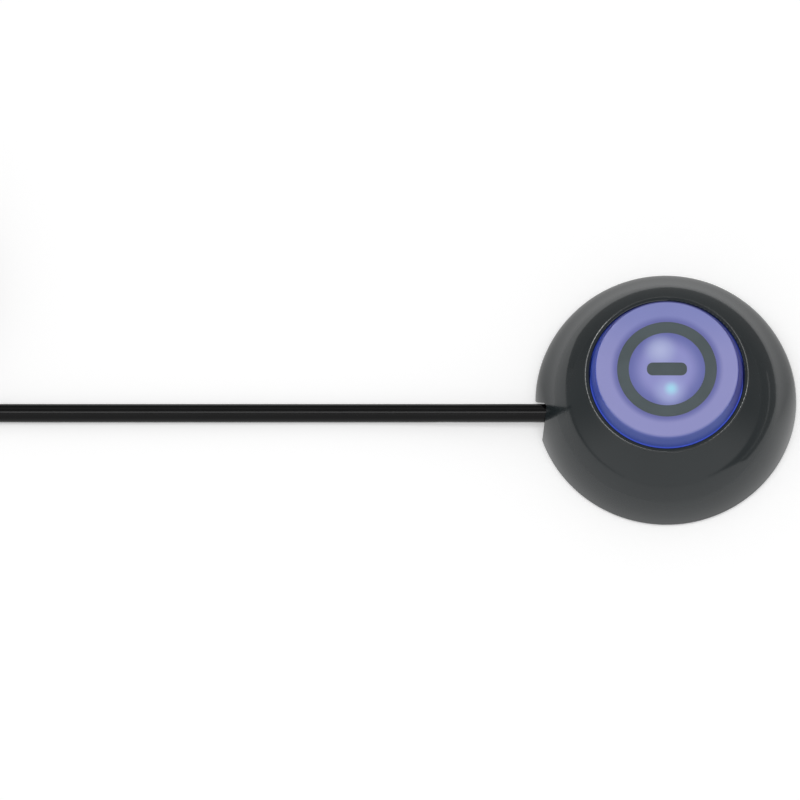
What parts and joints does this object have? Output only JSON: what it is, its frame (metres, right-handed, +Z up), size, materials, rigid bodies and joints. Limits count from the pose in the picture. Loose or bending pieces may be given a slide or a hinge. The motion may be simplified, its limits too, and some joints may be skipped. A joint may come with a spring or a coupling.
{
  "type": "corded push-button switch",
  "caption": "Low round hand or foot switch: dark dome, sprung lit push button with an on/off symbol, flat base with rubber feet, and a round control cord that ends in a small jack plug.",
  "frame": {"origin": "on the surface that the feet stand on, under the centre of the round body", "axes": "+Z up through the button, -X towards the cord, -Y towards the person who presses it"},
  "size_m": [0.306, 0.1035, 0.028],
  "materials": {
    "housing": "glossy anthracite moulded plastic",
    "base": "satin black moulded plastic",
    "foot_rubber": "matt black rubber",
    "screw_steel": "zinc-plated steel",
    "cord_jacket": "smooth black cord jacket with a soft sheen",
    "lead_insulation": "coloured wire insulation",
    "connector_plastic": "natural nylon",
    "board_laminate": "green solder mask over laminate",
    "switch_plastic": "black moulded plastic",
    "contact_metal": "nickel-plated brass",
    "lamp_resin": "clear lamp resin in a white case",
    "spring_steel": "bright spring wire",
    "lit_button": "translucent blue-violet plastic, lit from inside",
    "symbol_grey": "grey inlay, flush with the face",
    "carrier_plastic": "white light-spreading plastic",
    "plug_plastic": "black moulded plug",
    "insulator_plastic": "black insulating rings"
  },
  "bodies": {
    "housing": {"top_shell": "housing", "base_plate": "base", "rubber_feet": "foot_rubber", "housing_screws": "screw_steel", "cord_clamp": "base", "clamp_screws": "screw_steel", "cord_tail": "cord_jacket", "lead_front": "lead_insulation", "lead_middle": "lead_insulation", "lead_back": "lead_insulation", "wire_socket": "connector_plastic", "circuit_board": "board_laminate", "board_screws": "screw_steel", "switch_body": "switch_plastic", "switch_pins": "contact_metal", "leds": "lamp_resin", "resistors": "switch_plastic", "return_spring": "spring_steel", "cord_run": "cord_jacket", "cord_coil": "cord_jacket", "cord_end": "cord_jacket", "plug_boot": "plug_plastic", "plug_body": "plug_plastic", "plug_sleeve": "contact_metal", "plug_insulators": "insulator_plastic", "plug_ring": "contact_metal", "plug_tip": "contact_metal"},
    "button": {"button_cap": "lit_button", "symbol_ring": "symbol_grey", "symbol_bar": "symbol_grey", "button_carrier": "carrier_plastic", "switch_stem": "connector_plastic"}
  },
  "joints": [
    {"name": "button_press", "type": "slide", "parent": "housing", "child": "button", "axis": [0, 0, -1], "range_m": [0, 0.0025], "stiffness_N_per_m": 600, "springref_m": -0.002, "deforming": ["return_spring"]}
  ]
}
